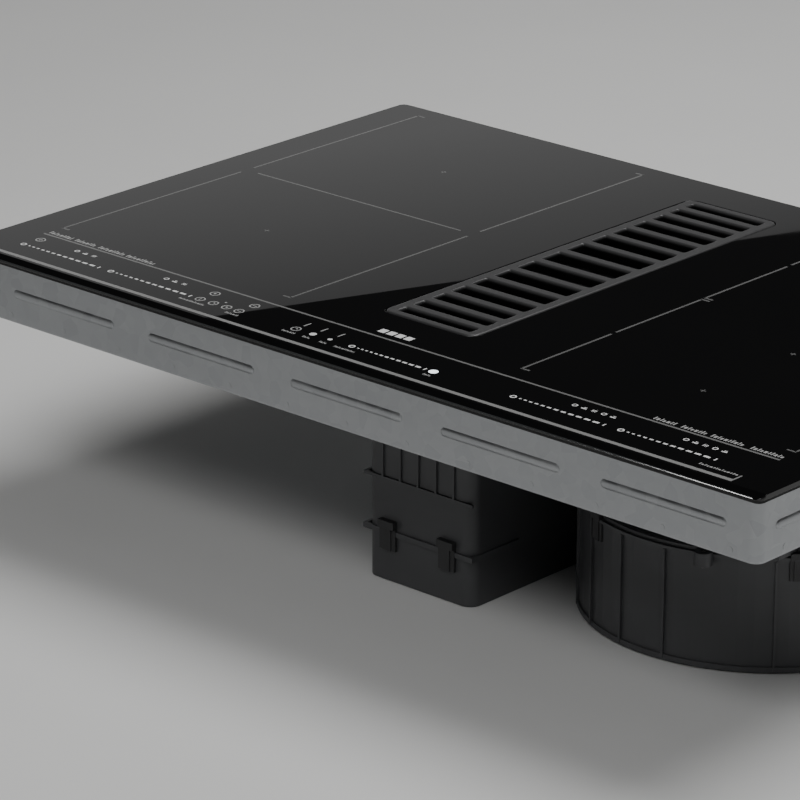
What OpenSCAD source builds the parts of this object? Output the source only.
// Built-in induction cooktop with a downdraft extractor between its two cooking areas.
// Millimetres. The origin is the centre of the plane where the rim seal meets the worktop.
// +X is the user's right, +Y the back of the worktop and +Z up.

/* [Glass] */
// Width of the ceramic glass
glass_w = 800; // [780:5:830]
// Depth of the ceramic glass
glass_d = 520; // [515:5:530]
// Thickness of the ceramic glass
glass_t = 4; // [4:0.5:6]
// Corner radius of the ceramic glass
glass_corner_r = 6; // [4:1:12]
// Horizontal width of the ground bevel on the front edge
bevel_run = 7; // [3:0.5:8]
// Height lost over the bevel
bevel_drop = 2.8; // [1:0.1:3]
// Thickness of the foam seal between the glass and the worktop
seal_t = 2.5; // [2:0.5:3]

/* [Cooking areas] */
// Distance from the centre line to the middle of a cooking area
zone_x = 242; // [238:1:246]
// Position of the cooking areas and the grille, behind the centre of the glass
zone_y = 32; // [28:1:34]
// Depth of a cooking area
zone_l = 418; // [400:1:420]
// Width of the windings of every coil
coil_w = 220; // [200:5:230]

/* [Grille] */
// Width of the grille
grille_w = 91; // [88:1:94]
// Length of the grille
grille_l = 368; // [362:1:370]
// Thickness of the grille
grille_t = 8; // [6:0.5:9]
// Length of every slot
slot_l = 72; // [66:1:74]
// Width of the middle slot
slot_mid_w = 20.4; // [18:0.1:20.5]
// How much narrower each slot is than its neighbour towards the middle
slot_step = 1.65; // [1.65:0.05:1.9]
// Width of the ribs between the slots
rib_w = 9.8; // [9:0.1:9.8]

/* [Casing] */
// Width of the steel casing, which hangs in the worktop cut-out
casing_w = 768; // [760:2:770]
// Depth of the steel casing
casing_d = 480; // [470:2:480]
// Depth of the casing below the worktop surface
casing_h = 54; // [54:1:58]
// Depth of the whole extractor below the worktop surface
unit_h = 206; // [206:1:215]

/* [Extractor fan] */
// Distance of the fan axis to the right of the centre line
fan_x = 190; // [188:1:192]
// Outer radius of the impeller
impeller_r = 90; // [85:1:92]
// Number of impeller blades
blades = 30; // [20:1:36]
// Width of the flat duct outlet
duct_w = 222; // [218:1:222]
// Height of the flat duct outlet
duct_h = 89; // [85:1:89]

/* [Hidden] */
$fn = 48;
eps = 0.5;

glass_z = seal_t;
glass_top = glass_z + glass_t;
seal_inset = 1.5;
seal_band = 8;
bead_t = 1;
bead_band = 4;
sheet = 1;
casing_r = 8;
lip = 5;
flange = 12;
vent_pitch = 12;
vent_w = 5;

opening_gap = 0.8;
opening_w = grille_w + 2 * opening_gap;
opening_l = grille_l + 2 * opening_gap;
grille_r = 9;
grille_top = glass_top + 0.5;
grille_z = grille_top - grille_t;
pad_t = 2;
ledge_z = grille_z - pad_t;
side_slots = 7;

collar_wall = 3;
collar_w = opening_w + 2 * collar_wall;
collar_l = opening_l + 2 * collar_wall;
collar_in_w = 78;
collar_in_l = 355;
collar_z = -14;

plastic = 2.5;
gasket_t = 1.7;
gasket_h = 6;
shaft_in_r = 8;
shaft_in_w = collar_w + 2 * gasket_t;
shaft_in_l = collar_l + 2 * gasket_t;
shaft_w = shaft_in_w + 2 * plastic;
shaft_l = shaft_in_l + 2 * plastic;
shaft_top = -6;
shaft_flange_t = 3;
shaft_lip = 10;
port_l = 200;
unit_z = -unit_h;
shaft_floor = unit_z + plastic;

filter_z = -50;
filter_w = 76;
filter_l = 350;
basket_w = 66;
basket_l = 340;
basket_h = 62;
filter_flange_t = 3;
mesh_t = 2;
post_w = 8;
base_h = 3;
bail_r = 2;
bail_len = 34;
bail_span = 50;
ear_x = bail_span / 2 + 6;
bail_y = zone_y + 60;
bail_z = filter_z + filter_flange_t + 3;
bail_clear = 0.06;

tray_w = 62;
tray_l = 330;
tray_h = 31;
tray_wall = 2;

case_z = -casing_h;
plate_top = case_z + sheet;
board_z = plate_top + 8;
board_t = 1.6;
board_top = board_z + board_t;
post_h = board_z - plate_top + 0.2;
shield_z = -20;
shield_t = 1.2;
carrier_z = -8;
carrier_t = 3;
coil_t = 6;
mica_z = 1.2;
mica_t = 0.8;
ferrite_h = 5;
side_x0 = shaft_w / 2 + 8;
side_x1 = casing_w / 2 - 3;
zone_y0 = zone_y - zone_l / 2;

scroll_top = unit_z + 94;
scroll_r0 = 102;
scroll_r1 = 150;
scroll_step = 5;
tongue_angle = 95;
duct_x = fan_x + scroll_r1 - duct_w / 2 + 2;
duct_y0 = 209;
duct_y1 = 240;
duct_z = unit_z + 47;
duct_wall = 2;
eye_r = 64;
manifold_w = 250;
manifold_d = 220;
manifold_top = case_z - 4;

motor_z = unit_z + 8;
rotor_r = 40;
shaft_r = 4;
running = 0.05;
rotor_h = 34;
bearing_r = 8;
bearing_h = 6;
bearing_gap = 20;
tube_r = bearing_r + 3;

cool_x = 112;
cool_y = -138;
cool_size = 80;
cool_h = 25;
cool_hub_r = 16;
cool_pin_r = 2.1;

terminal_x = -250;
terminal_y = 206;
terminal_w = 110;
terminal_d = 56;
terminal_h = 26;
cable_r = 7;
cable_clear = 0.2;
hinge_r = 1.5;
lid_t = 2;
hinge_y = terminal_y - terminal_d / 2;
pin_y = hinge_y - 3.5;

driver_y = 0;
driver_w = 52;
driver_l = 130;
driver_h = 42;
driver_z = -112;
driver_wall = 2;
driver_lead_z = 16;
motor_lead_x = -shaft_w / 2 - driver_w / 2;
motor_lead_y = driver_y - driver_l / 2 - 17;

lead_hole_r = 5;
screw_r = 1.9;
screw_hole_r = 2.1;
screw_head_r = 3.6;

// Flat outline of a rectangle with true round corners.
module rounded(w, l, r) {
    square([w - 2 * r, l], center = true);
    square([w, l - 2 * r], center = true);
    for (x = [-1, 1], y = [-1, 1])
        translate([x * (w / 2 - r), y * (l / 2 - r)]) circle(r);
}

// Rounded slab standing on z.
module slab(w, l, h, r, z = 0, x = 0, y = 0) {
    translate([x, y, z]) linear_extrude(h) rounded(w, l, r);
}

// Rounded frame: a slab with a rounded opening of wall width t on the sides and u on the ends.
module frame(w, l, h, r, t, u, z = 0, x = 0, y = 0) {
    difference() {
        slab(w, l, h, r, z, x, y);
        slab(w - 2 * t, l - 2 * u, h + 2 * eps, max(r - min(t, u), 0.6), z - eps, x, y);
    }
}

// Box by its low corner and its size.
module block(x, y, z, size) {
    translate([x, y, z]) cube(size);
}

// Upright cutter for a hole through a wall of thickness t that stands on z.
module punch(p, z, r = screw_hole_r, t = sheet) {
    translate([p[0], p[1], z - 1]) cylinder(r = r, h = t + 2);
}

// Pan-head screw with its head below z and its shank going up.
module screw_up(x, y, z, length, head_h = 2) {
    translate([x, y, z - head_h]) cylinder(r = screw_head_r, h = head_h);
    translate([x, y, z - eps]) cylinder(r = screw_r, h = length + eps);
}

// A tube along a list of points, swept ring by ring without twisting.
function unit(v) = v / norm(v);
function direction(p, i) = unit(p[min(i + 1, len(p) - 1)] - p[max(i - 1, 0)]);
function square_to(a, t) = unit(a - (a * t) * t);
function normals(p, i, a) =
    i >= len(p) ? [] : let (b = square_to(a, direction(p, i))) concat([b], normals(p, i + 1, b));
function ring(c, t, a, r, n) =
    let (b = cross(t, a))
    [for (k = [0 : n - 1]) c + r * (cos(360 * k / n) * a + sin(360 * k / n) * b)];
module wire(p, r, n = 6) {
    sides = normals(p, 0, [0.53, 0.62, 0.58]);
    rings = [for (i = [0 : len(p) - 1]) each ring(p[i], direction(p, i), sides[i], r, n)];
    walls = [
        for (i = [0 : len(p) - 2], k = [0 : n - 1])
        [i * n + k, (i + 1) * n + k, (i + 1) * n + (k + 1) % n, i * n + (k + 1) % n]
    ];
    polyhedron(rings, concat(
        [[for (k = [0 : n - 1]) k]],
        walls,
        [[for (k = [n - 1 : -1 : 0]) (len(p) - 1) * n + k]]
    ));
}

// ---- Glass, seal and casing ----

module glass_panel() {
    color([0.03, 0.03, 0.035]) difference() {
        slab(glass_w, glass_d, glass_t, glass_corner_r, glass_z);
        slab(opening_w, opening_l, glass_t + 2, grille_r + opening_gap, glass_z - 1, 0, zone_y);
        front_bevel();
    }
}

// Wedge that grinds the front edge of the glass.
module front_bevel() {
    slope = bevel_drop / bevel_run;
    y = -glass_d / 2;
    rotate([90, 0, 90]) linear_extrude(glass_w + 2, center = true) polygon([
        [y + bevel_run, glass_top],
        [y + bevel_run, glass_top + 2],
        [y - 2, glass_top + 2],
        [y - 2, glass_top - bevel_drop - 2 * slope]
    ]);
}

module worktop_seal() {
    color([0.06, 0.06, 0.06]) frame(glass_w - 2 * seal_inset, glass_d - 2 * seal_inset,
        seal_t, glass_corner_r - 1, seal_band, seal_band);
}

module silicone_bead() {
    color([0.12, 0.12, 0.12])
        frame(casing_w + 2 * bead_band, casing_d + 2 * bead_band, bead_t, casing_r + 1,
            bead_band, bead_band, glass_z - bead_t);
}

function lip_screws() = concat(
    [for (x = [-320, -110, 110, 320], y = [-1, 1]) [x, y * (casing_d - flange) / 2]],
    [for (x = [-1, 1], y = [-150, 150]) [x * (casing_w - flange) / 2, y]]
);

// Exhaust slots in the rear wall of the casing.
module rear_slots() {
    count = 12;
    low = -44;
    high = -20;
    for (side = [-1, 1], i = [0 : count - 1])
        block(side * zone_x + vent_pitch * (i - 5.5), casing_d / 2 - 4, low,
            [vent_w, 8, high - low]);
}

module casing_frame() {
    color([0.62, 0.63, 0.65]) difference() {
        union() {
            frame(casing_w + 2 * lip, casing_d + 2 * lip, sheet, casing_r + 2,
                lip + sheet, lip + sheet, glass_z - bead_t - sheet);
            frame(casing_w, casing_d, glass_z - bead_t - plate_top, casing_r,
                sheet, sheet, plate_top);
            frame(casing_w, casing_d, sheet, casing_r, flange, flange, plate_top);
        }
        for (p = lip_screws()) punch(p, plate_top);
        for (c = clip_places())
            translate([0, c[1], clip_screw_z]) rotate([0, 90, 0])
                translate([0, 0, c[0] > 0 ? casing_w / 2 - 3 : -casing_w / 2 - 3])
                    cylinder(r = screw_hole_r, h = 6);
        rear_slots();
    }
}

// Round cooling-air intake cut as parallel slots.
module intake_slots(x, y) {
    r = 35;
    pitch = 8;
    intersection() {
        punch([x, y], case_z, r);
        for (i = [-4 : 4])
            block(x + pitch * i - vent_w / 2, y - cool_size / 2, case_z - 1,
                [vent_w, cool_size, sheet + 2]);
    }
}

module bottom_plate() {
    color([0.66, 0.67, 0.69]) difference() {
        slab(casing_w, casing_d, sheet, casing_r, case_z);
        slab(shaft_w + 2, shaft_l + 2, sheet + 2, 7, case_z - 1, 0, zone_y);
        for (p = concat(lip_screws(), shaft_screws())) punch(p, case_z);
        punch([motor_lead_x, motor_lead_y], case_z, lead_hole_r);
        for (side = [-1, 1]) intake_slots(side * cool_x, cool_y);
        for (x = [-330, 169], i = [0 : 13])
            block(x + vent_pitch * i, -214, case_z - 1, [vent_w, 34, sheet + 2]);
        supply_opening(case_z - 1, sheet + 2);
    }
}

// Cutter for the opening where the supply wires pass from the terminal box into the casing.
module supply_opening(z, h) {
    w = 24;
    d = 20;
    block(terminal_x - w / 2, terminal_y - d / 2, z, [w, d, h]);
}

module casing_screws() {
    color([0.75, 0.75, 0.76])
        for (p = lip_screws()) screw_up(p[0], p[1], case_z, 6);
}

// Bowed steel springs that grip the sides of the cut-out, on the left and right walls.
clip_screw_z = -14;
clip_w = 22;
clip_t = 0.8;
clip_bow = 7;
function clip_places() = [for (x = [-1, 1], y = [-120, 120]) [x, y]];
// Put something at every clip, with +X pointing out of the casing wall.
module at_clips() {
    for (c = clip_places())
        mirror([c[0] > 0 ? 0 : 1, 0, 0]) translate([casing_w / 2, c[1], 0]) children();
}
module fixing_clips() {
    color([0.7, 0.71, 0.72]) at_clips() difference() {
        rotate([90, 0, 0]) linear_extrude(clip_w, center = true) polygon(clip_outline());
        translate([-1, 0, clip_screw_z]) rotate([0, 90, 0]) cylinder(r = screw_hole_r, h = 4);
    }
}
// Side view of a clip: flat on the wall, bowed out, then back in to the wall.
function clip_line() = [
    [0, -8], [0, -20], [2.2, -24], [clip_bow - 1, -33], [clip_bow, -36],
    [clip_bow - 1, -39], [3.2, -44], [0.6, -47], [0.4, -50]
];
function clip_outline() =
    let (p = clip_line())
    concat(p, [for (i = [len(p) - 1 : -1 : 0]) p[i] + [clip_t, i > 4 ? -0.3 : 0]]);
module clip_screws() {
    color([0.75, 0.75, 0.76]) at_clips() translate([0, 0, clip_screw_z]) rotate([0, 90, 0]) {
        translate([0, 0, clip_t]) cylinder(r = screw_head_r, h = 1.8);
        translate([0, 0, -6]) cylinder(r = screw_r, h = 6 + clip_t + eps);
    }
}

// ---- Grille, collar and removable filter ----

function slot_width(k) = slot_mid_w - slot_step * abs(k);
function slot_centre(k) =
    k == 0 ? 0 : sign(k) * (slot_centre(abs(k) - 1)
        + rib_w + (slot_width(k) + slot_width(abs(k) - 1)) / 2);

module vent_grille() {
    slot_r = 1.2;
    color([0.3, 0.3, 0.3]) difference() {
        slab(grille_w, grille_l, grille_t, grille_r, grille_z, 0, zone_y);
        for (k = [-side_slots : side_slots])
            slab(slot_l, slot_width(k), grille_t + 2, slot_r, grille_z - 1,
                0, zone_y + slot_centre(k));
    }
}

module grille_pads() {
    pad_r = 2.6;
    reach = 150;
    color([0.05, 0.05, 0.05])
        for (x = [-1, 1], y = [-1, 1])
            translate([x * (collar_in_w / 2 + pad_r + 0.8), zone_y + y * reach, ledge_z])
                cylinder(r = pad_r, h = pad_t);
}

module inlet_collar() {
    brim = 9;
    brim_t = 1.5;
    r = 12;
    color([0.08, 0.08, 0.08]) {
        frame(collar_w + 2 * brim, collar_l + 2 * brim, brim_t, r, r, r, glass_z - brim_t,
            0, zone_y);
        difference() {
            slab(collar_w, collar_l, glass_z - 0.8 * brim_t - collar_z, r, collar_z, 0, zone_y);
            slab(opening_w, opening_l, -collar_z, grille_r + opening_gap, ledge_z, 0, zone_y);
            slab(collar_in_w, collar_in_l, -2 * collar_z, 5, collar_z - 1, 0, zone_y);
        }
    }
}

module shaft_gasket() {
    color([0.1, 0.1, 0.1])
        frame(shaft_in_w, shaft_in_l, gasket_h, shaft_in_r + gasket_t, gasket_t, gasket_t,
            collar_z + 1, 0, zone_y);
}

// Ears that hold the bail's pins, one at each side of the filter.
module bail_ears() {
    t = 4;
    l = 8;
    for (x = [-1, 1])
        translate([x * ear_x, bail_y, 0]) difference() {
            block(-t / 2, -l / 2, filter_z + filter_flange_t - eps, [t, l, 7.5]);
            translate([-t / 2 - 1, 0, bail_z]) rotate([0, 90, 0])
                cylinder(r = bail_r + bail_clear, h = t + 2);
        }
}

module filter_frame() {
    rim = 7;
    low = filter_z - basket_h;
    color([0.72, 0.73, 0.74]) {
        frame(filter_w, filter_l, filter_flange_t, 6, rim, rim, filter_z, 0, zone_y);
        frame(basket_w, basket_l, base_h, 4, mesh_t, mesh_t, low, 0, zone_y);
        for (x = [-1, 1], y = [-1, 0, 1])
            block((x * (basket_w - mesh_t) - mesh_t) / 2,
                zone_y + (y * (basket_l - post_w) - post_w) / 2,
                low, [mesh_t, post_w, basket_h + 1]);
        for (y = [-1, 1])
            block(-post_w / 2, zone_y + (y * (basket_l - mesh_t) - mesh_t) / 2, low,
                [post_w, mesh_t, basket_h + 1]);
        for (x = [-1, 1]) block(x * ear_x - 2.5, bail_y - 7, filter_z, [5, 14, filter_flange_t]);
        bail_ears();
    }
}

// Expanded-metal panels of the basket, between the posts.
module filter_mesh() {
    side_l = basket_l / 2 - 1.5 * post_w;
    end_w = (basket_w - post_w) / 2 - mesh_t;
    h = basket_h - base_h;
    low = filter_z - h;
    color([0.8, 0.81, 0.82]) {
        for (x = [-1, 1], y = [-1, 1])
            block((x * (basket_w - mesh_t) - mesh_t) / 2,
                zone_y + y * (post_w + side_l) / 2 - side_l / 2, low, [mesh_t, side_l, h]);
        for (x = [-1, 1], y = [-1, 1])
            block(x * (post_w + end_w) / 2 - end_w / 2,
                zone_y + (y * (basket_l - mesh_t) - mesh_t) / 2, low, [end_w, mesh_t, h]);
        slab(basket_w - 2 * mesh_t, basket_l - 2 * mesh_t, mesh_t, 2, low - base_h, 0, zone_y);
    }
}

// Wire bail: two pins, two legs and a crossbar, folded flat at rest.
module filter_bail() {
    leg_x = bail_span / 2;
    color([0.78, 0.79, 0.8]) translate([0, bail_y, bail_z]) {
        for (x = [-1, 1]) {
            translate([x * leg_x, 0, 0]) rotate([-90, 0, 0])
                cylinder(r = bail_r - 0.4, h = bail_len - 4);
            translate([x > 0 ? leg_x - 2 : -leg_x - 9, 0, 0]) rotate([0, 90, 0])
                cylinder(r = bail_r, h = 11);
        }
        translate([-leg_x - bail_r, bail_len - 4, 0]) rotate([0, 90, 0])
            cylinder(r = bail_r + 0.6, h = bail_span + 2 * bail_r);
    }
}

module drip_tray() {
    z = shaft_floor;
    color([0.18, 0.18, 0.19]) {
        difference() {
            slab(tray_w, tray_l, tray_h, 8, z, 0, zone_y);
            slab(tray_w - 2 * tray_wall, tray_l - 2 * tray_wall, tray_h, 6,
                z + tray_wall, 0, zone_y);
        }
        for (y = [-1, 1])
            block(-14, zone_y + y * (tray_l / 2 - 7) - 5, z + tray_h - 3, [28, 10, 3]);
    }
}

// ---- Air path below the casing ----

module suction_shaft() {
    color([0.11, 0.11, 0.12]) difference() {
        union() {
            difference() {
                slab(shaft_w, shaft_l, shaft_top - unit_z, 10, unit_z, 0, zone_y);
                slab(shaft_in_w, shaft_in_l, -unit_z, shaft_in_r, shaft_floor, 0, zone_y);
            }
            // Ledge that the filter's flange rests on.
            frame(shaft_w - 2, shaft_l - 2, plastic, shaft_in_r,
                (shaft_w - basket_w) / 2 - 2, (shaft_l - basket_l) / 2 - 2,
                filter_z - plastic, 0, zone_y);
            // Flange that is screwed to the underside of the casing.
            frame(shaft_w + 2 * shaft_lip, shaft_l + 2 * shaft_lip, shaft_flange_t, 18,
                shaft_lip + 2, shaft_lip + 2, case_z - shaft_flange_t, 0, zone_y);
        }
        // Port through which the air turns into the manifold.
        block(shaft_w / 2 - 6, -port_l / 2, scroll_top + plastic + 0.5,
            [12, port_l, manifold_top - scroll_top - 2 * plastic - 1]);
        for (p = shaft_screws()) punch(p, case_z - shaft_flange_t, t = shaft_flange_t);
    }
}

// The middle of the right side is left free for the manifold.
function shaft_screws() = concat(
    [for (y = [-130, 30, 190]) [-shaft_w / 2 - 6, y]],
    [for (y = [-130, 190]) [shaft_w / 2 + 6, y]]
);

module intake_manifold() {
    x0 = shaft_w / 2;
    h = manifold_top - scroll_top;
    color([0.13, 0.13, 0.14]) difference() {
        block(x0, -manifold_d / 2, scroll_top, [manifold_w, manifold_d, h]);
        block(x0 - 1, -manifold_d / 2 + plastic, scroll_top + plastic,
            [manifold_w + 1 - plastic, manifold_d - 2 * plastic, h - 2 * plastic]);
        punch([fan_x, 0], scroll_top, eye_r, plastic);
        // The scroll's screws bite into the manifold's floor.
        for (p = scroll_ears()) punch(p, scroll_top, t = plastic);
    }
}

// Volute that widens round the impeller, then opens into the flat duct.
function volute_r(a) =
    scroll_r0 + (scroll_r1 - scroll_r0) * (a - tongue_angle) / (360 - tongue_angle);
// Outline of the volute, t outside its inner face, with its outlet ending at y.
function volute(t, y) = concat(
    [for (a = [tongue_angle : scroll_step : 360]) polar(volute_r(a) + t, a)],
    [
        [duct_x + duct_w / 2 - duct_wall + t, y],
        [duct_x - duct_w / 2 + duct_wall - t, y],
        [duct_x - duct_w / 2 + duct_wall - t, duct_y0]
    ]
);

function polar(r, a) = [fan_x + r * cos(a), r * sin(a)];
ear_angles = [140, 215, 295, 350];
ear_out = plastic + 5;
ear_h = 8;
function scroll_ears() = [for (a = ear_angles) polar(volute_r(a) + ear_out, a)];
// Screw ears of thickness h round the volute, standing on z.
module scroll_ear_set(z, h) {
    for (a = ear_angles) difference() {
        translate([fan_x, 0, z]) rotate([0, 0, a]) {
            translate([volute_r(a) + ear_out, 0, 0]) cylinder(r = 7, h = h);
            block(volute_r(a) + 1, -6, 0, [plastic + 4, 12, h]);
        }
        punch(polar(volute_r(a) + ear_out, a), z, t = h);
        translate([0, 0, z - 1]) linear_extrude(h + 2) polygon(volute(0, duct_y0 + 20));
    }
}

module scroll_housing() {
    color([0.15, 0.15, 0.16]) {
        difference() {
            translate([0, 0, unit_z]) linear_extrude(scroll_top - plastic - unit_z)
                polygon(volute(plastic, duct_y0 + plastic));
            translate([0, 0, unit_z + plastic]) linear_extrude(scroll_top - unit_z)
                polygon(volute(0, duct_y0 + 20));
        }
        scroll_ear_set(scroll_top - plastic - ear_h, ear_h);
    }
}

module scroll_cover() {
    inlet_h = 14;
    color([0.17, 0.17, 0.18]) {
        difference() {
            translate([0, 0, scroll_top - plastic]) linear_extrude(plastic)
                polygon(volute(plastic, duct_y0 + plastic));
            punch([fan_x, 0], scroll_top - plastic, eye_r, plastic);
        }
        translate([fan_x, 0, scroll_top - inlet_h]) difference() {
            cylinder(r = eye_r + plastic, h = inlet_h);
            translate([0, 0, -1]) cylinder(r = eye_r, h = inlet_h + 2);
        }
        scroll_ear_set(scroll_top - plastic, plastic);
    }
}

module extractor_screws() {
    color([0.75, 0.75, 0.76]) {
        for (p = scroll_ears()) screw_up(p[0], p[1], scroll_top - plastic - ear_h, 13);
        for (p = shaft_screws()) screw_up(p[0], p[1], case_z - shaft_flange_t, 8);
    }
}

module outlet_spigot() {
    flange_h = duct_h + 4;
    color([0.14, 0.14, 0.15]) translate([duct_x, 0, duct_z]) rotate([-90, 0, 0]) {
        translate([0, 0, duct_y0 + plastic])
            frame(duct_w, duct_h, duct_y1 - duct_y0 - plastic, 6, duct_wall, duct_wall);
        translate([0, 0, duct_y0 + plastic])
            frame(duct_w + 8, flange_h, 3, 7, 6, (flange_h - duct_h) / 2 + duct_wall);
    }
}

// ---- Extractor motor and impeller ----

module on_fan_axis(z) {
    translate([fan_x, 0, z]) children();
}

module blade() {
    steps = 5;
    thick = 0.9;
    depth = 18;
    turn = 16;
    inner_r = impeller_r - depth - 1;
    // A forward-curved blade follows an arc that turns with the radius.
    line = [
        for (i = [0 : steps])
        let (s = i / steps, r = inner_r + depth * s, a = turn * s * s)
        r * [cos(a), sin(a)]
    ];
    back = [
        for (i = [steps : -1 : 0])
        let (s = i / steps, r = inner_r + depth * s, a = turn * s * s + thick / r * 180 / PI)
        r * [cos(a), sin(a)]
    ];
    polygon(concat(line, back));
}

module impeller() {
    h = 72;
    disc_t = 2.5;
    cup_h = rotor_h + 3;
    shroud_h = 4;
    shroud_band = 5;
    color([0.2, 0.2, 0.21]) {
        on_fan_axis(motor_z) difference() {
            union() {
                cylinder(r = impeller_r, h = disc_t);
                cylinder(r = rotor_r + 2, h = cup_h);
            }
            translate([0, 0, -1]) cylinder(r = rotor_r, h = rotor_h + 1);
        }
        on_fan_axis(motor_z + disc_t - eps) for (i = [0 : blades - 1])
            rotate([0, 0, 360 * i / blades]) linear_extrude(h - disc_t + eps) blade();
        on_fan_axis(motor_z + h - shroud_h) difference() {
            cylinder(r = impeller_r, h = shroud_h);
            translate([0, 0, -1]) cylinder(r = impeller_r - shroud_band, h = shroud_h + 2);
        }
    }
}

module motor_rotor() {
    wall = 3;
    color([0.5, 0.51, 0.53]) on_fan_axis(motor_z) difference() {
        cylinder(r = rotor_r, h = rotor_h);
        translate([0, 0, -1]) cylinder(r = rotor_r - wall, h = rotor_h + 1 - wall);
        translate([0, 0, -1]) cylinder(r = shaft_r, h = rotor_h + 2);
    }
}

module motor_shaft() {
    color([0.8, 0.8, 0.82]) on_fan_axis(motor_z - 2) cylinder(r = shaft_r, h = rotor_h + 2);
}

module motor_bearings() {
    color([0.85, 0.85, 0.87]) for (z = [0, bearing_gap]) on_fan_axis(motor_z + z) difference() {
        cylinder(r = bearing_r, h = bearing_h);
        translate([0, 0, -1]) cylinder(r = shaft_r + running, h = bearing_h + 2);
    }
}

// Flange and bearing tube, as a turned profile round the fan's axis.
module bearing_tube() {
    bore_r = shaft_r + 1.5;
    flange_r = 30;
    flange_t = 4;
    h = 32;
    low = motor_z - unit_z - plastic;
    rotate_extrude() polygon([
        [bore_r, 0], [flange_r, 0], [flange_r, flange_t], [tube_r, flange_t], [tube_r, h],
        [bearing_r, h], [bearing_r, low + bearing_gap], [bore_r, low + bearing_gap],
        [bore_r, low + bearing_h], [bearing_r, low + bearing_h], [bearing_r, low], [bore_r, low]
    ]);
}
// Laminated core on the tube, with nine teeth and a winding on each.
module motor_stator() {
    teeth = 9;
    core_r = 16;
    core_h = 12;
    tip_r = 34;
    color([0.72, 0.45, 0.2]) {
        on_fan_axis(unit_z + plastic) bearing_tube();
        on_fan_axis(motor_z + 7) difference() {
            union() {
                linear_extrude(core_h) {
                    circle(core_r);
                    for (i = [0 : teeth - 1]) rotate(360 * i / teeth) {
                        translate([core_r - 4, -3.5]) square([18, 7]);
                        translate([tip_r - 5, -9]) square([5, 18]);
                    }
                }
                for (i = [0 : teeth - 1])
                    rotate([0, 0, 360 * i / teeth]) block(core_r + 1.5, -6, -3, [10.5, 12, 18]);
            }
            translate([0, 0, -5]) cylinder(r = tube_r, h = core_h + 10);
        }
    }
}

module driver_box() {
    x0 = -shaft_w / 2 - driver_w;
    y0 = driver_y - driver_l / 2;
    color([0.1, 0.1, 0.11]) difference() {
        block(x0, y0, driver_z, [driver_w, driver_l, driver_h]);
        block(x0 + driver_wall, y0 + driver_wall, driver_z + driver_wall,
            [driver_w - 2 * driver_wall, driver_l - 2 * driver_wall, driver_h]);
        translate([motor_lead_x, y0 + driver_wall + 1, driver_z + driver_lead_z])
            rotate([90, 0, 0]) cylinder(r = lead_hole_r, h = driver_wall + 4);
    }
}
module driver_cover() {
    x0 = -shaft_w / 2 - driver_w;
    y0 = driver_y - driver_l / 2;
    top = driver_z + driver_h;
    inset = driver_wall + 0.3;
    color([0.12, 0.12, 0.13]) {
        block(x0, y0, top, [driver_w, driver_l, driver_wall]);
        block(x0 + inset, y0 + inset, top - 3,
            [driver_w - 2 * inset, driver_l - 2 * inset, 3 + eps]);
    }
}
module driver_board() {
    x0 = -shaft_w / 2 - driver_w;
    y0 = driver_y - driver_l / 2;
    margin = 5;
    post = 10;
    z = driver_z + 6;
    on_board = z + board_t - 0.2;
    color([0.1, 0.35, 0.2]) {
        block(x0 + margin, y0 + margin, z, [driver_w - 2 * margin, driver_l - 2 * margin, board_t]);
        for (x = [post, driver_w - post], y = [post, driver_l - post])
            translate([x0 + x, y0 + y, driver_z + driver_wall])
                cylinder(r = 3, h = z + 0.2 - driver_z - driver_wall);
        for (i = [0 : 2])
            translate([x0 + 15, y0 + 25 + 22 * i, on_board]) cylinder(r = 7, h = 22);
        block(x0 + 27, y0 + 20, on_board, [14, 60, 16]);
    }
}

// ---- Coils ----

// Flat winding of separate turns round an open middle.
module winding(w, l, r) {
    pitch = 4.4;
    turn_w = 3.6;
    open_middle = 12;
    turns = floor((min(w, l) / 2 - open_middle) / pitch);
    for (i = [0 : turns - 1])
        frame(w - 2 * pitch * i, l - 2 * pitch * i, coil_t, max(r - pitch * i, 4),
            turn_w, turn_w, carrier_z + carrier_t);
}
copper = [0.75, 0.42, 0.22];
coil_r = 44;
sensor_r = 8;
left_coil_l = 192;
right_coil_l = 94;
function left_centres() = [for (i = [0, 1]) zone_y0 + zone_l * (0.25 + 0.5 * i)];
function right_centres() = [for (i = [0 : 3]) zone_y0 + zone_l * (0.125 + 0.25 * i)];
// Every coil as [centre x, centre y, length].
function coils() = concat(
    [for (y = left_centres()) [-zone_x, y, left_coil_l]],
    [for (y = right_centres()) [zone_x, y, right_coil_l]]
);
module coil(i) {
    c = coils()[i];
    color(copper) translate([c[0], c[1], 0]) winding(coil_w, c[2], coil_r);
}
module coil_carriers() {
    color([0.25, 0.25, 0.26]) for (c = coils()) difference() {
        slab(coil_w + 6, c[2] + 6, carrier_t, coil_r + 2, carrier_z, c[0], c[1]);
        punch(c, carrier_z, sensor_r, carrier_t);
        for (x = [-1, 1])
            slab(30, c[2] / 3, carrier_t + 2, 6, carrier_z - 1, c[0] + x * 52, c[1]);
    }
}
module ferrite_bars() {
    pitch = 30;
    w = 12;
    color([0.22, 0.22, 0.23]) for (c = coils(), i = [-3 : 3]) if (i != 0)
        block(c[0] + pitch * i - w / 2, c[1] - c[2] / 2 + 8, carrier_z - ferrite_h,
            [w, c[2] - 16, ferrite_h]);
}
module mica_sheets() {
    color([0.8, 0.76, 0.62]) for (c = coils()) difference() {
        slab(coil_w + 4, c[2] + 4, mica_t, coil_r + 1, mica_z, c[0], c[1]);
        punch(c, mica_z, sensor_r + 0.5, mica_t);
    }
}
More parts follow.
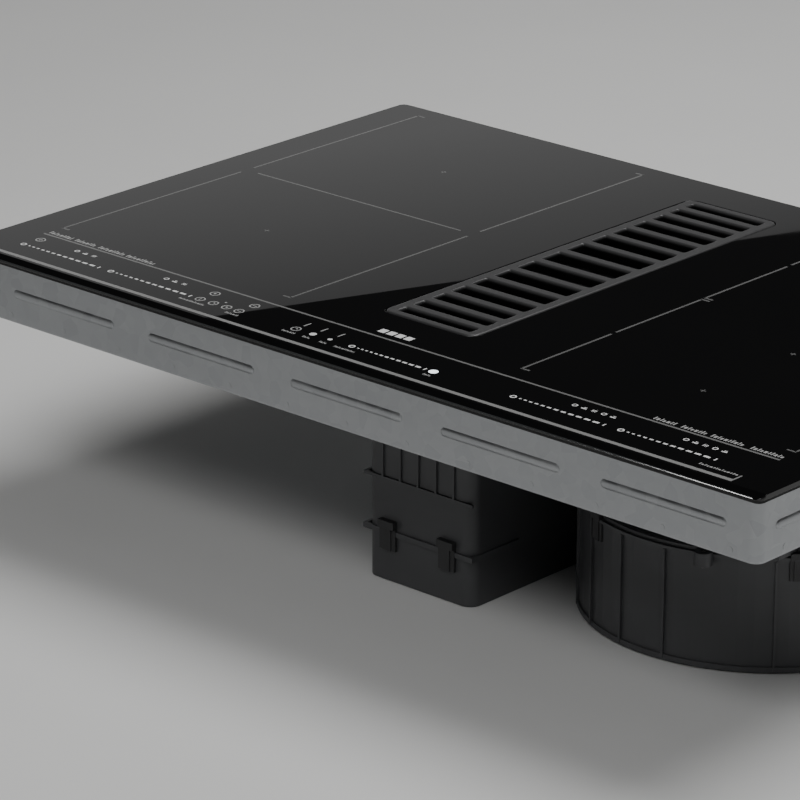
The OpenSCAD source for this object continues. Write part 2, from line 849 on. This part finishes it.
module coil_sensors() {
    low = carrier_z - 4;
    shoulder = carrier_z + 6;
    color([0.9, 0.9, 0.88]) for (c = coils()) translate([c[0], c[1], 0]) {
        translate([0, 0, low]) cylinder(r = sensor_r, h = shoulder - low);
        translate([0, 0, shoulder - eps]) cylinder(r = 4.5, h = glass_z - shoulder + eps);
    }
}
module coil_supports() {
    bottom = shield_z + shield_t;
    color([0.55, 0.2, 0.15]) for (c = coils(), x = [-45, 45], y = [-1, 1])
        translate([c[0] + x, c[1] + y * c[2] / 3, bottom]) cylinder(r = 5, h = carrier_z - bottom);
}

function lead_x() = zone_x - coil_w / 2 - 9;
module shield_plates() {
    color([0.78, 0.79, 0.8]) for (side = [-1, 1]) difference() {
        block(side > 0 ? side_x0 : -side_x1, -180, shield_z, [side_x1 - side_x0, 416, shield_t]);
        for (c = coils()) if (c[0] * side > 0)
            punch([side * lead_x(), c[1]], shield_z, lead_hole_r + 1, shield_t);
    }
}
function standoffs() = [for (x = [side_x0 + 6, side_x1 - 14], y = [-172, 205]) [x, y]];
module shield_standoffs() {
    color([0.7, 0.7, 0.72]) for (side = [-1, 1], p = standoffs())
        translate([side * p[0], p[1], plate_top])
            cylinder(r = 4, h = shield_z - plate_top, $fn = 6);
}

// ---- Power electronics ----

board_x = 156;
board_w = 214;
board_y = -165;
board_l = 235;
module power_board(side) {
    mirror([side > 0 ? 0 : 1, 0, 0]) color([0.08, 0.35, 0.22]) {
        block(board_x, board_y, board_z, [board_w, board_l, board_t]);
        for (x = [12, board_w - 12], y = [12, board_l - 12])
            translate([board_x + x, board_y + y, plate_top]) cylinder(r = 4, h = post_h);
    }
}
// Extruded heatsinks, each with fins along the air flow.
module heatsinks() {
    fins = 9;
    pitch = 6.5;
    x = board_x + 8;
    y = board_y + 40;
    l = 150;
    base = 4;
    color([0.75, 0.76, 0.78]) for (side = [-1, 1]) mirror([side > 0 ? 0 : 1, 0, 0]) {
        block(x, y, board_top, [l, 60, base]);
        for (i = [0 : fins - 1])
            block(x, y + pitch * i, board_top + base - eps, [l, 2.4, 15]);
    }
}
module component_set() {
    // Capacitors, relays, chokes, a terminal strip and a connector.
    for (i = [0 : 3])
        translate([board_x + 30 + 44 * i, board_y + 130, board_top]) cylinder(r = 10, h = 20);
    for (i = [0 : 2])
        block(board_x + 16 + 62 * i, board_y + 156, board_top, [46, 20, 20]);
    for (i = [0 : 1])
        translate([board_x + 50 + 100 * i, board_y + 208, board_top]) difference() {
            cylinder(r = 17, h = 16);
            translate([0, 0, -1]) cylinder(r = 8, h = 18);
        }
    block(board_x + 178, board_y + 20, board_top, [16, 60, 12]);
    block(board_x + 20, board_y + 8, board_top, [60, 16, 10]);
}
module board_components() {
    color([0.16, 0.2, 0.35]) {
        for (side = [-1, 1]) mirror([side > 0 ? 0 : 1, 0, 0]) component_set();
        // Choke, suppression capacitor and relay of the mains filter.
        translate([-330, 110, board_top]) cylinder(r = 14, h = 18);
        block(-300, 98, board_top, [40, 26, 20]);
        block(-210, 150, board_top, [24, 40, 14]);
    }
}
module mains_filter_board() {
    color([0.1, 0.4, 0.25]) {
        block(-360, 88, board_z, [190, 110, board_t]);
        for (x = [-352, -178], y = [96, 190])
            translate([x, y, plate_top]) cylinder(r = 4, h = post_h);
    }
}

module fan_frame(side) {
    bore_r = 38.2;
    hole = 35.5;
    spoke_w = 4;
    hub_h = 3;
    color([0.09, 0.09, 0.1]) translate([side * cool_x, cool_y, plate_top]) {
        difference() {
            slab(cool_size, cool_size, cool_h, 5);
            punch([0, 0], 0, bore_r, cool_h);
            for (x = [-hole, hole], y = [-hole, hole]) punch([x, y], 0, t = cool_h);
        }
        difference() {
            union() {
                cylinder(r = cool_hub_r, h = hub_h);
                for (a = [0 : 90 : 270])
                    rotate([0, 0, a + 20])
                        block(cool_hub_r - 4, -spoke_w / 2, 0,
                            [bore_r + 5 - cool_hub_r, spoke_w, hub_h]);
            }
            punch([0, 0], 0, cool_pin_r + running, hub_h);
        }
    }
}
module fan_rotor(side) {
    vanes = 7;
    vane = [20.5, 22, 1.6];
    pitch_angle = 38;
    color([0.14, 0.14, 0.15]) translate([side * cool_x, cool_y, plate_top]) {
        translate([0, 0, 4]) cylinder(r = cool_hub_r, h = 18);
        translate([0, 0, 0.5]) cylinder(r = cool_pin_r, h = 8);
        for (i = [0 : vanes - 1])
            rotate([0, 0, 360 * i / vanes]) translate([cool_hub_r - 1, 0, 13])
                rotate([pitch_angle, 0, 0]) block(0, -vane[1] / 2, -vane[2] / 2, vane);
    }
}

// ---- Controls ----

touch_y = -212;
touch_l = 48;
touch_w = 716;
touch_z = -8;
touch_board_z = -3.5;
module touch_carrier() {
    wall = 2;
    h = 10;
    color([0.13, 0.13, 0.14]) {
        difference() {
            block(-touch_w / 2, touch_y - touch_l / 2, touch_z, [touch_w, touch_l, h]);
            block(-touch_w / 2 + wall, touch_y - touch_l / 2 + wall, touch_z + wall,
                [touch_w - 2 * wall, touch_l - 2 * wall, h]);
        }
        for (x = [-340, -140, 140, 340])
            translate([x, touch_y, plate_top]) cylinder(r = 4, h = touch_z - plate_top + eps);
    }
}
module touch_board() {
    edge = 4;
    color([0.1, 0.35, 0.2]) {
        block(-touch_w / 2 + edge, touch_y - touch_l / 2 + edge, touch_board_z,
            [touch_w - 2 * edge, touch_l - 2 * edge, board_t]);
        for (x = [-300 : 100 : 300])
            translate([x, touch_y, touch_z + 2]) cylinder(r = 3, h = 2.6);
    }
}
module led_displays() {
    size = [28, 14, 3.6];
    color([0.1, 0.02, 0.02])
        for (x = [-310, -190, -70, 70, 190, 310])
            block(x - size[0] / 2, touch_y - 6, touch_board_z + board_t, size);
}

// ---- Mains connection ----

module terminal_box() {
    wall = 2;
    z = case_z - terminal_h;
    cable_z = z + 13;
    x0 = terminal_x - terminal_w / 2;
    color([0.12, 0.12, 0.13]) {
        difference() {
            block(x0, hinge_y, z, [terminal_w, terminal_d, terminal_h]);
            block(x0 + wall, hinge_y + wall, z - 1,
                [terminal_w - 2 * wall, terminal_d - 2 * wall, terminal_h - 1]);
            translate([terminal_x, terminal_y, cable_z]) rotate([-90, 0, 0])
                cylinder(r = cable_r + cable_clear, h = terminal_d);
            supply_opening(z, terminal_h + 1);
        }
        // Gland through which the mains cable enters, behind the box.
        translate([terminal_x, hinge_y + terminal_d - wall, cable_z]) rotate([-90, 0, 0])
            difference() {
                cylinder(r = cable_r + 4, h = 8);
                translate([0, 0, -1]) cylinder(r = cable_r + cable_clear, h = 10);
            }
        // Hinge pins of the lid, each held by a tab of the box.
        for (x = [-40, 40])
            translate([terminal_x + x - 6, pin_y, z + 2]) rotate([0, 90, 0])
                cylinder(r = hinge_r, h = 12);
        for (x = [-46, 46])
            block(terminal_x + x - 1.5, hinge_y - 5, z + 0.5, [3, 6, 6]);
    }
}
module terminal_block() {
    poles = 6;
    pitch = 14;
    l = poles * pitch;
    color([0.85, 0.84, 0.8]) difference() {
        block(terminal_x - l / 2, terminal_y - 20, case_z - 14, [l, 9, 12]);
        for (i = [0 : poles - 1])
            translate([terminal_x + pitch * (i + 0.5) - l / 2, terminal_y - 15.5, case_z - 15])
                cylinder(r = 2.2, h = 9);
    }
}
module terminal_cover() {
    z = case_z - terminal_h;
    lid_z = z - lid_t - 0.3;
    w = 6;
    color([0.14, 0.14, 0.15]) {
        block(terminal_x - terminal_w / 2, hinge_y - 1, lid_z, [terminal_w, terminal_d + 1, lid_t]);
        for (x = [-37, 37]) translate([terminal_x + x - w / 2, 0, 0]) difference() {
            union() {
                block(0, pin_y - 3, lid_z, [w, w, 3]);
                translate([0, pin_y, z + 2]) rotate([0, 90, 0]) cylinder(r = 3, h = w);
                block(0, pin_y - 3, z - lid_t, [w, 3.5, 4]);
            }
            translate([-1, pin_y, z + 2]) rotate([0, 90, 0])
                cylinder(r = hinge_r + bail_clear, h = w + 2);
        }
    }
}

// ---- Wiring ----

lead_r = 1.6;
lead_z = shield_z - 5;
// One lead from each coil's edge, through the shield and over to its power board.
// The rear coils' leads first run forward to where the board is.
module coil_leads() {
    x = lead_x();
    for (i = [0 : 5]) {
        c = coils()[i];
        y = c[1];
        end_y = min(y, 58 - 7 * (i % 2));
        run_x = x + 9 + 4 * (i % 2);
        forward = y > end_y ? [[run_x, y - 7, lead_z], [run_x, end_y + 8, lead_z]] : [];
        path = concat(
            [[x + 14, y, -11], [x + 5, y, -12], [x, y, -16.5], [x, y, -21.5], [x + 4, y, lead_z]],
            forward,
            [
                [x + 28, end_y, lead_z], [x + 36, end_y, lead_z - 3],
                [x + 37, end_y, lead_z - 8], [x + 37, end_y, board_top]
            ]
        );
        wire([for (p = path) [sign(c[0]) * p[0], p[1], p[2]]], lead_r);
    }
}
// From the terminal block up to the filter board, then on to both power boards.
module supply_leads() {
    z = board_top + lead_r;
    for (i = [-1, 0, 1])
        wire([
            [terminal_x + 6 * i, terminal_y - 11, case_z - 8],
            [terminal_x + 6 * i, terminal_y - 7, case_z - 8],
            [terminal_x + 6 * i, terminal_y - 3, case_z - 4],
            [terminal_x + 6 * i, terminal_y - 3, case_z + 5],
            [terminal_x + 6 * i, terminal_y - 8, z],
            [terminal_x + 6 * i, terminal_y - 16, z]
        ], lead_r);
    wire([
        [-200, 100, z], [-150, 98, z], [-100, 120, z], [-86, 165, z], [-80, 208, z],
        [-66, 226, z + 2], [-45, 232, z + 4], [0, 232, z + 4], [45, 232, z + 4],
        [66, 226, z + 2], [80, 208, z], [88, 150, z], [110, 80, z], [164, 56, z]
    ], lead_r);
    wire([[-200, 92, z], [-190, 80, z], [-190, 64, z]], lead_r);
}
module touch_leads() {
    y = board_y + 16;
    for (s = [-1, 1])
        wire([
            [s * 206, y, board_top + 10], [s * 206, y, lead_z - 5],
            [s * 206, y - 5, lead_z - 1], [s * 206, y - 14, lead_z],
            [s * 206, y - 40, lead_z + 2], [s * 206, touch_y, -17], [s * 206, touch_y, -8]
        ], lead_r);
}
module motor_lead() {
    x = motor_lead_x;
    y = motor_lead_y;
    wire([
        [x, y + 19, driver_z + driver_lead_z], [x, y + 8, driver_z + driver_lead_z + 1],
        [x, y, driver_z + driver_lead_z + 10],
        [x, y, case_z], [x, y, lead_z - 8], [x - 8, y, lead_z], [x - 70, y + 4, lead_z],
        [x - 81, y + 6, lead_z - 6], [x - 81, y + 6, board_top]
    ], lead_r);
}
module wiring_harness() {
    color([0.7, 0.7, 0.72]) {
        coil_leads();
        supply_leads();
        touch_leads();
        motor_lead();
    }
}

glass_panel();
worktop_seal();
silicone_bead();
casing_frame();
bottom_plate();
casing_screws();
fixing_clips();
clip_screws();
inlet_collar();
vent_grille();
grille_pads();
filter_frame();
filter_mesh();
filter_bail();
drip_tray();
shaft_gasket();
suction_shaft();
intake_manifold();
scroll_cover();
scroll_housing();
outlet_spigot();
extractor_screws();
impeller();
motor_rotor();
motor_shaft();
motor_stator();
motor_bearings();
driver_box();
driver_board();
driver_cover();
coil(0);  // coil_left_front
coil(1);  // coil_left_rear
coil(2);  // coil_right_1
coil(3);  // coil_right_2
coil(4);  // coil_right_3
coil(5);  // coil_right_4
coil_carriers();
ferrite_bars();
mica_sheets();
coil_sensors();
coil_supports();
shield_plates();
shield_standoffs();
power_board(-1);  // power_board_left
power_board(1);  // power_board_right
heatsinks();
board_components();
fan_frame(-1);  // fan_frame_left
fan_frame(1);  // fan_frame_right
fan_rotor(-1);  // fan_rotor_left
fan_rotor(1);  // fan_rotor_right
touch_carrier();
touch_board();
led_displays();
mains_filter_board();
terminal_box();
terminal_block();
terminal_cover();
wiring_harness();
